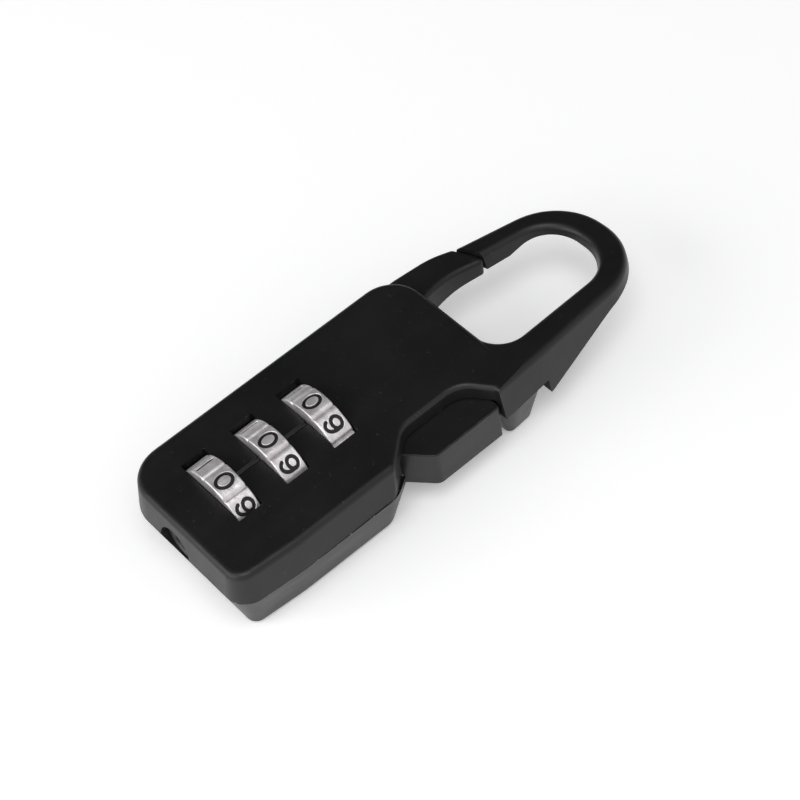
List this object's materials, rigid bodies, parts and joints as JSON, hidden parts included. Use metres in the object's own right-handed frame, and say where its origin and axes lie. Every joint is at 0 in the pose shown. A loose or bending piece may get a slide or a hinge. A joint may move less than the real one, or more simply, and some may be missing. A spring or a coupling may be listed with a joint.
{
  "type": "luggage combination padlock",
  "caption": "Flat black cast combination padlock for luggage, with a hook closed by an inward swinging gate, a side push button and silver code dials.",
  "frame": {"origin": "centre of the middle dial dropped to the flat back face that the lock rests on", "axes": "+Z out of the front face, where the dials show; +Y along the lock, from the reset hole to the crest of the hook; +X across the lock, towards the push button"},
  "size_m": [0.0244, 0.0658, 0.0132],
  "materials": {
    "black_paint": "satin",
    "dial_chrome": "satin",
    "plunger_metal": "satin",
    "steel": "brushed",
    "brass": "satin"
  },
  "bodies": {
    "casing": {"front_shell": "black_paint", "rear_shell": "black_paint", "shell_rivets": "black_paint", "detent_leaf": "steel", "gate_pivot_pin": "steel", "spring_washer": "steel"},
    "wheel_1": {"dial_1": "dial_chrome"},
    "wheel_2": {"dial_2": "dial_chrome"},
    "wheel_3": {"dial_3": "dial_chrome"},
    "sleeve_1": {"clutch_sleeve_1": "brass"},
    "sleeve_2": {"clutch_sleeve_2": "brass"},
    "sleeve_3": {"clutch_sleeve_3": "brass"},
    "plunger": {"reset_plunger": "plunger_metal", "reset_spring": "steel"},
    "button_slide": {"button": "black_paint", "slide_plate": "steel", "button_spring": "steel"},
    "spindle_bar": {"spindle": "brass", "drive_pin": "steel"},
    "gate": {"gate_lever": "black_paint"}
  },
  "joints": [
    {"name": "dial_1_turn", "type": "hinge", "parent": "casing", "child": "wheel_1", "pos_m": [0, -0.007, 0.007], "axis": [0, 1, 0], "continuous": true},
    {"name": "sleeve_1_shift", "type": "slide", "parent": "wheel_1", "child": "sleeve_1", "axis": [0, 1, 0], "range_m": [0, 0.0012]},
    {"name": "dial_2_turn", "type": "hinge", "parent": "casing", "child": "wheel_2", "pos_m": [0, 0, 0.007], "axis": [0, 1, 0], "continuous": true},
    {"name": "sleeve_2_shift", "type": "slide", "parent": "wheel_2", "child": "sleeve_2", "axis": [0, 1, 0], "range_m": [0, 0.0012]},
    {"name": "dial_3_turn", "type": "hinge", "parent": "casing", "child": "wheel_3", "pos_m": [0, 0.007, 0.007], "axis": [0, 1, 0], "continuous": true},
    {"name": "sleeve_3_shift", "type": "slide", "parent": "wheel_3", "child": "sleeve_3", "axis": [0, 1, 0], "range_m": [0, 0.0012]},
    {"name": "reset_press", "type": "slide", "parent": "casing", "child": "plunger", "axis": [0, 1, 0], "range_m": [0, 0.0012], "stiffness_N_per_m": 500, "springref_m": -0.0006, "deforming": ["reset_spring"]},
    {"name": "button_press", "type": "slide", "parent": "casing", "child": "button_slide", "axis": [-1, 0, 0], "range_m": [0, 0.0014], "stiffness_N_per_m": 900, "springref_m": -0.0006, "deforming": ["button_spring"]},
    {"name": "spindle_shift", "type": "slide", "parent": "casing", "child": "spindle_bar", "axis": [0, -1, 0], "range_m": [0, 0.00085]},
    {"name": "gate_swing", "type": "hinge", "parent": "casing", "child": "gate", "pos_m": [-0.0059, 0.0223, 0.007], "axis": [0, 0, 1], "range_deg": [-14.7, 0]}
  ],
  "couplings": [
    {"joint": "sleeve_1_shift", "follows": "reset_press", "ratio": 1},
    {"joint": "sleeve_2_shift", "follows": "reset_press", "ratio": 1},
    {"joint": "sleeve_3_shift", "follows": "reset_press", "ratio": 1},
    {"joint": "spindle_shift", "follows": "button_press", "ratio": 0.6},
    {"joint": "gate_swing", "follows": "button_press", "rad_per_m": -182.64}
  ]
}
